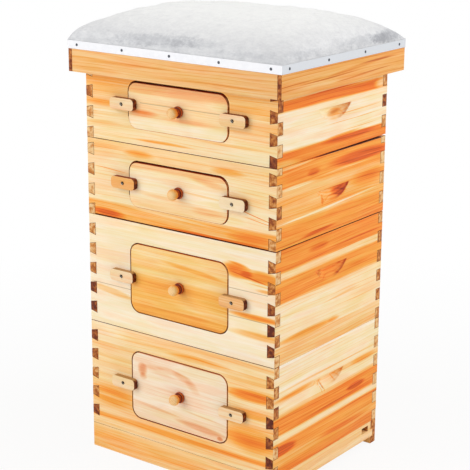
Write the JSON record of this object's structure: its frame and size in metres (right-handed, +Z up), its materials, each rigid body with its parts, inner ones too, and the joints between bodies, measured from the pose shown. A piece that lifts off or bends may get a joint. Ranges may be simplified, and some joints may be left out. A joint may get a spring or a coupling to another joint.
{
  "type": "beehive",
  "caption": "Wooden hive of stacked dovetailed boxes with shuttered observation windows, frames inside, a floor with an entrance and a metal-topped telescoping roof.",
  "frame": {"origin": "on the ground under the middle of the hive", "axes": "+Z up, -Y the window side, +X the entrance side"},
  "size_m": [0.5544, 0.4692, 1.0009],
  "materials": {
    "box_wood": "planed, oiled fir",
    "rim_wood": "planed, oiled fir",
    "button_wood": "sanded, charred edges",
    "turned_wood": "turned",
    "floor_wood": "planed",
    "cover_wood": "planed",
    "frame_wood": "sawn",
    "wax": "embossed wax",
    "clear_acrylic": "clear",
    "galvanised_sheet": "galvanised, dull",
    "fasteners": "dull steel"
  },
  "bodies": {
    "floor": {"floor_planks": "floor_wood", "floor_side_rails": "floor_wood", "floor_back_rail": "floor_wood"},
    "entrance_reducer": {"entrance_reducer": "floor_wood"},
    "lower_deep": {"lower_deep_front_board": "box_wood", "lower_deep_back_board": "box_wood", "lower_deep_left_board": "box_wood", "lower_deep_right_board": "box_wood", "lower_deep_window_pane": "clear_acrylic", "lower_deep_shutter": "box_wood", "lower_deep_knob": "turned_wood", "lower_deep_button_screws": "fasteners", "lower_deep_frames": "frame_wood", "lower_deep_foundations": "wax"},
    "lower_deep_left_button": {"lower_deep_left_button": "button_wood"},
    "lower_deep_right_button": {"lower_deep_right_button": "button_wood"},
    "upper_deep": {"upper_deep_front_board": "box_wood", "upper_deep_back_board": "box_wood", "upper_deep_left_board": "box_wood", "upper_deep_right_board": "box_wood", "upper_deep_window_pane": "clear_acrylic", "upper_deep_shutter": "box_wood", "upper_deep_knob": "turned_wood", "upper_deep_button_screws": "fasteners", "upper_deep_frames": "frame_wood", "upper_deep_foundations": "wax"},
    "upper_deep_left_button": {"upper_deep_left_button": "button_wood"},
    "upper_deep_right_button": {"upper_deep_right_button": "button_wood"},
    "lower_medium": {"lower_medium_front_board": "box_wood", "lower_medium_back_board": "box_wood", "lower_medium_left_board": "box_wood", "lower_medium_right_board": "box_wood", "lower_medium_window_pane": "clear_acrylic", "lower_medium_shutter": "box_wood", "lower_medium_knob": "turned_wood", "lower_medium_button_screws": "fasteners", "lower_medium_frames": "frame_wood", "lower_medium_foundations": "wax"},
    "lower_medium_left_button": {"lower_medium_left_button": "button_wood"},
    "lower_medium_right_button": {"lower_medium_right_button": "button_wood"},
    "upper_medium": {"upper_medium_front_board": "box_wood", "upper_medium_back_board": "box_wood", "upper_medium_left_board": "box_wood", "upper_medium_right_board": "box_wood", "upper_medium_window_pane": "clear_acrylic", "upper_medium_shutter": "box_wood", "upper_medium_knob": "turned_wood", "upper_medium_button_screws": "fasteners", "upper_medium_frames": "frame_wood", "upper_medium_foundations": "wax"},
    "upper_medium_left_button": {"upper_medium_left_button": "button_wood"},
    "upper_medium_right_button": {"upper_medium_right_button": "button_wood"},
    "inner_cover": {"inner_cover_panel": "cover_wood", "inner_cover_rim": "cover_wood"},
    "roof": {"roof_long_rails": "rim_wood", "roof_short_rails": "rim_wood", "roof_deck": "cover_wood", "roof_sheet": "galvanised_sheet", "roof_nails": "fasteners"}
  },
  "joints": [
    {"name": "draw_entrance_reducer", "type": "slide", "parent": "floor", "child": "entrance_reducer", "axis": [1, 0, 0], "range_m": [0, 0.12]},
    {"name": "lift_lower_deep", "type": "slide", "parent": "floor", "child": "lower_deep", "axis": [0, 0, 1], "range_m": [0, 0.3]},
    {"name": "turn_lower_deep_left_button", "type": "hinge", "parent": "lower_deep", "child": "lower_deep_left_button", "pos_m": [-0.1485, -0.205, 0.1805], "axis": [0, -1, 0], "continuous": true},
    {"name": "turn_lower_deep_right_button", "type": "hinge", "parent": "lower_deep", "child": "lower_deep_right_button", "pos_m": [0.1485, -0.205, 0.1805], "axis": [0, -1, 0], "continuous": true},
    {"name": "lift_upper_deep", "type": "slide", "parent": "lower_deep", "child": "upper_deep", "axis": [0, 0, 1], "range_m": [0, 0.3]},
    {"name": "turn_upper_deep_left_button", "type": "hinge", "parent": "upper_deep", "child": "upper_deep_left_button", "pos_m": [-0.1485, -0.205, 0.4275], "axis": [0, -1, 0], "continuous": true},
    {"name": "turn_upper_deep_right_button", "type": "hinge", "parent": "upper_deep", "child": "upper_deep_right_button", "pos_m": [0.1485, -0.205, 0.4275], "axis": [0, -1, 0], "continuous": true},
    {"name": "lift_lower_medium", "type": "slide", "parent": "upper_deep", "child": "lower_medium", "axis": [0, 0, 1], "range_m": [0, 0.3]},
    {"name": "turn_lower_medium_left_button", "type": "hinge", "parent": "lower_medium", "child": "lower_medium_left_button", "pos_m": [-0.141, -0.205, 0.636], "axis": [0, -1, 0], "continuous": true},
    {"name": "turn_lower_medium_right_button", "type": "hinge", "parent": "lower_medium", "child": "lower_medium_right_button", "pos_m": [0.1485, -0.205, 0.636], "axis": [0, -1, 0], "continuous": true},
    {"name": "lift_upper_medium", "type": "slide", "parent": "lower_medium", "child": "upper_medium", "axis": [0, 0, 1], "range_m": [0, 0.3]},
    {"name": "turn_upper_medium_left_button", "type": "hinge", "parent": "upper_medium", "child": "upper_medium_left_button", "pos_m": [-0.141, -0.205, 0.806], "axis": [0, -1, 0], "continuous": true},
    {"name": "turn_upper_medium_right_button", "type": "hinge", "parent": "upper_medium", "child": "upper_medium_right_button", "pos_m": [0.1485, -0.205, 0.806], "axis": [0, -1, 0], "continuous": true},
    {"name": "lift_inner_cover", "type": "slide", "parent": "upper_medium", "child": "inner_cover", "axis": [0, 0, 1], "range_m": [0, 0.2]},
    {"name": "lift_roof", "type": "slide", "parent": "inner_cover", "child": "roof", "axis": [0, 0, 1], "range_m": [0, 0.3]}
  ]
}
